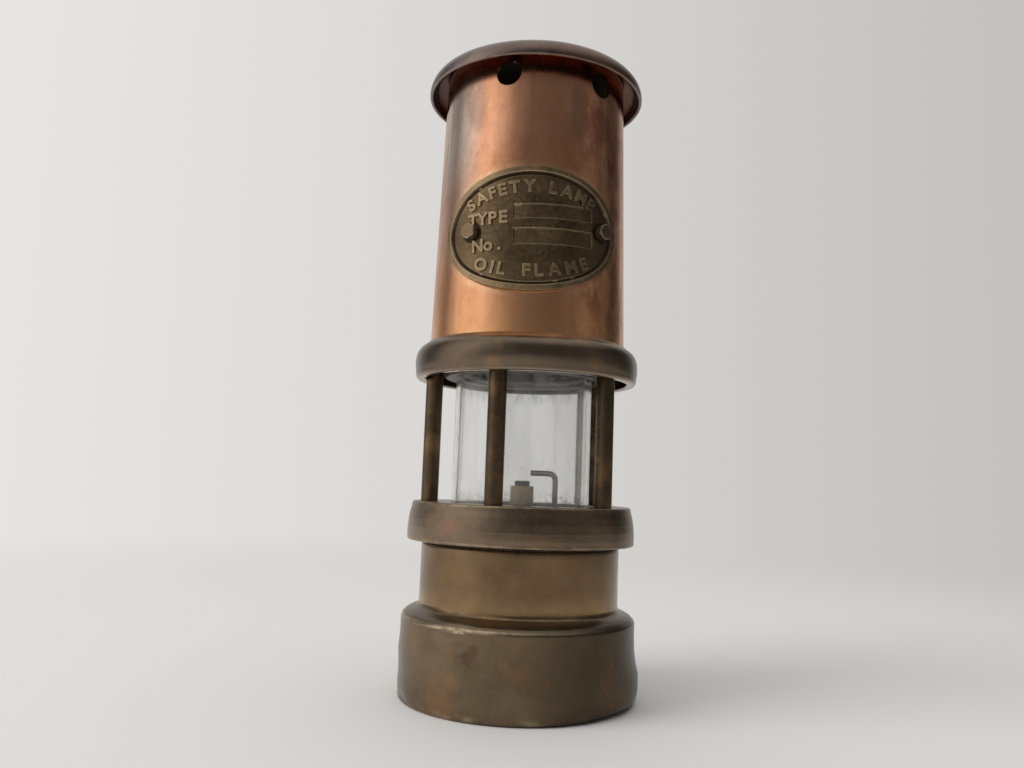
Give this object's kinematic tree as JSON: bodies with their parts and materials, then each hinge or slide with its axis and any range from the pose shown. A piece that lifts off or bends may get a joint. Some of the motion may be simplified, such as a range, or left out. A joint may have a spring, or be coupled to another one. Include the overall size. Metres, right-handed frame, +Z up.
{
  "type": "miner's flame safety lamp",
  "caption": "Small miner's oil lamp: stepped fuel vessel, glass between two rings on pillars, copper bonnet with an oval plate and vent holes, low dished hood and a hanging ring.",
  "frame": {"origin": "centre of the foot's resting face", "axes": "+Z up along the lamp's axis, -Y towards the front (the oval plate's side), +X to the right of someone who faces the plate"},
  "size_m": [0.0636, 0.0636, 0.1799],
  "materials": {
    "aged_brass": "dark patina, satin",
    "dull_brass": "dull",
    "cotton": "matt",
    "wick_cotton": "charred tip",
    "steel_wire": "dull",
    "seal_leather": "oiled",
    "fibre": "matt",
    "glass": "clear, dusty",
    "gauze": "woven wire",
    "copper": "copper, polished with stains",
    "plate_bronze": "olive patina",
    "hood_copper": "dark copper, satin"
  },
  "bodies": {
    "vessel": {"base_vessel": "aged_brass", "bottom_plate": "dull_brass", "cotton_wadding": "cotton", "burner_plate": "dull_brass", "wick_tube": "dull_brass", "wick": "wick_cotton", "pricker_tube": "dull_brass", "pricker_gland": "dull_brass"},
    "pricker_sleeve": {"pricker_sleeve": "dull_brass"},
    "pricker": {"pricker_wire": "steel_wire"},
    "thread_seal": {"thread_seal": "seal_leather"},
    "frame": {"lower_ring": "aged_brass", "pillar_1": "aged_brass", "pillar_2": "aged_brass", "pillar_3": "aged_brass", "pillar_4": "aged_brass", "pillar_5": "aged_brass", "lower_glass_gasket": "fibre", "glass_cylinder": "glass", "upper_glass_gasket": "fibre", "upper_glass_seat": "dull_brass", "upper_ring": "aged_brass", "gauze_ring": "dull_brass", "main_gauze": "gauze", "gauze_cap": "gauze", "bonnet": "copper", "oval_plate": "plate_bronze", "plate_pin_left": "plate_bronze", "plate_pin_right": "plate_bronze", "crown_plate": "dull_brass", "hood": "hood_copper", "hanger_bush": "dull_brass"},
    "swivel": {"swivel_eye": "dull_brass", "swivel_nut": "dull_brass"},
    "hanging_ring": {"hanging_ring": "dull_brass"}
  },
  "joints": [
    {"name": "unscrew_lift", "type": "slide", "parent": "vessel", "child": "thread_seal", "axis": [0, 0, 1], "range_m": [0, 0.007]},
    {"name": "unscrew_turn", "type": "hinge", "parent": "thread_seal", "child": "frame", "pos_m": [0, 0, 0], "axis": [0, 0, 1], "range_deg": [0, 1260]},
    {"name": "pricker_turn", "type": "hinge", "parent": "vessel", "child": "pricker_sleeve", "pos_m": [0.009, 0, 0], "axis": [0, 0, 1], "continuous": true},
    {"name": "pricker_lift", "type": "slide", "parent": "pricker_sleeve", "child": "pricker", "axis": [0, 0, 1], "range_m": [0, 0.0021]},
    {"name": "hanger_swivel", "type": "hinge", "parent": "frame", "child": "swivel", "pos_m": [0, 0, 0.17], "axis": [0, 0, 1], "continuous": true},
    {"name": "ring_swing", "type": "hinge", "parent": "swivel", "child": "hanging_ring", "pos_m": [0, 0, 0.1762], "axis": [1, 0, 0], "range_deg": [0, 206.8]}
  ],
  "couplings": [
    {"joint": "unscrew_lift", "follows": "unscrew_turn", "m_per_rad": 0.0003183}
  ]
}
